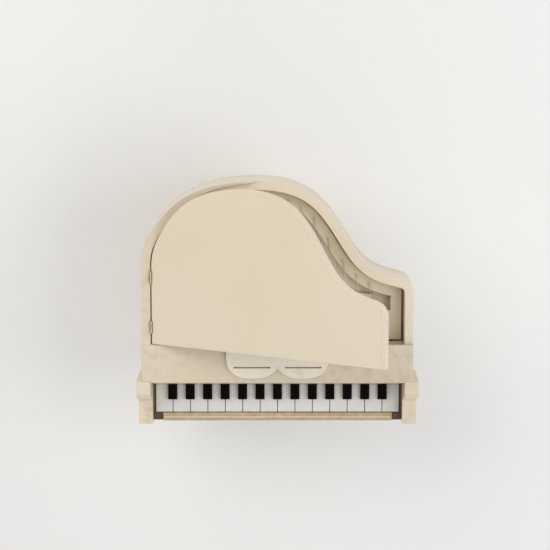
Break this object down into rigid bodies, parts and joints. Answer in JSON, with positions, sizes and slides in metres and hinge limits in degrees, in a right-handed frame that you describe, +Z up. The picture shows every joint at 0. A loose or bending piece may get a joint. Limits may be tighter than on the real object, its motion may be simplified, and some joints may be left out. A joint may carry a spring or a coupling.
{
  "type": "miniature grand piano",
  "caption": "Miniature baby grand piano with a hinged lid, folding music desk, prop stick, keyboard, pedal lyre and turned legs, in ivory lacquer.",
  "frame": {"origin": "centre of the footprint, on the surface the feet stand on", "axes": "+X to the treble side, +Y from the player to the tail, +Z up"},
  "size_m": [0.1324, 0.118, 0.1466],
  "materials": {
    "ivory_lacquer": "gloss lacquer",
    "inner_lacquer": "satin lacquer",
    "tan_wood": "satin",
    "dark_wood": "satin",
    "white_key": "gloss",
    "black_key": "gloss",
    "brass": "polished",
    "plate_paint": "satin",
    "steel_wire": "satin"
  },
  "bodies": {
    "case": {"rim": "ivory_lacquer", "hinge_rail": "ivory_lacquer", "bottom_board": "inner_lacquer", "soundboard": "inner_lacquer", "bridge": "inner_lacquer", "string_plate": "plate_paint", "strings": "steel_wire", "tuning_pins": "steel_wire", "hitch_pins": "steel_wire", "pin_block": "inner_lacquer", "belly_rail": "inner_lacquer", "front_panel": "ivory_lacquer", "fallboard": "ivory_lacquer", "key_bed": "ivory_lacquer", "key_slip": "tan_wood", "key_blocks": "dark_wood", "left_arm": "ivory_lacquer", "right_arm": "ivory_lacquer", "white_key_01": "white_key", "white_key_02": "white_key", "white_key_03": "white_key", "white_key_04": "white_key", "white_key_05": "white_key", "white_key_06": "white_key", "white_key_07": "white_key", "white_key_08": "white_key", "white_key_09": "white_key", "white_key_10": "white_key", "white_key_11": "white_key", "white_key_12": "white_key", "white_key_13": "white_key", "white_key_14": "white_key", "black_key_01": "black_key", "black_key_02": "black_key", "black_key_03": "black_key", "black_key_04": "black_key", "black_key_05": "black_key", "black_key_06": "black_key", "black_key_07": "black_key", "black_key_08": "black_key", "black_key_09": "black_key", "black_key_10": "black_key", "black_key_11": "black_key", "black_key_12": "black_key", "black_key_13": "black_key", "front_left_leg": "ivory_lacquer", "front_right_leg": "ivory_lacquer", "rear_leg": "ivory_lacquer", "lyre": "ivory_lacquer", "pedal_box": "ivory_lacquer", "pedals": "brass", "lyre_braces": "brass", "hinge_rail_leaves": "brass", "hinge_pins": "brass", "prop_bracket": "brass", "desk_hinge_rod": "brass", "prop_stick": "ivory_lacquer"},
    "lid": {"lid": "ivory_lacquer", "hinge_lid_leaves": "brass"},
    "music_desk": {"music_desk": "ivory_lacquer"}
  },
  "joints": [
    {"name": "lid_hinge", "type": "hinge", "parent": "case", "child": "lid", "pos_m": [-0.059, 0.0028, 0.0861], "axis": [0, -1, 0], "range_deg": [-30, 60]},
    {"name": "music_desk_hinge", "type": "hinge", "parent": "case", "child": "music_desk", "pos_m": [0, -0.0189, 0.0865], "axis": [-1, 0, 0], "range_deg": [0, 90]}
  ]
}
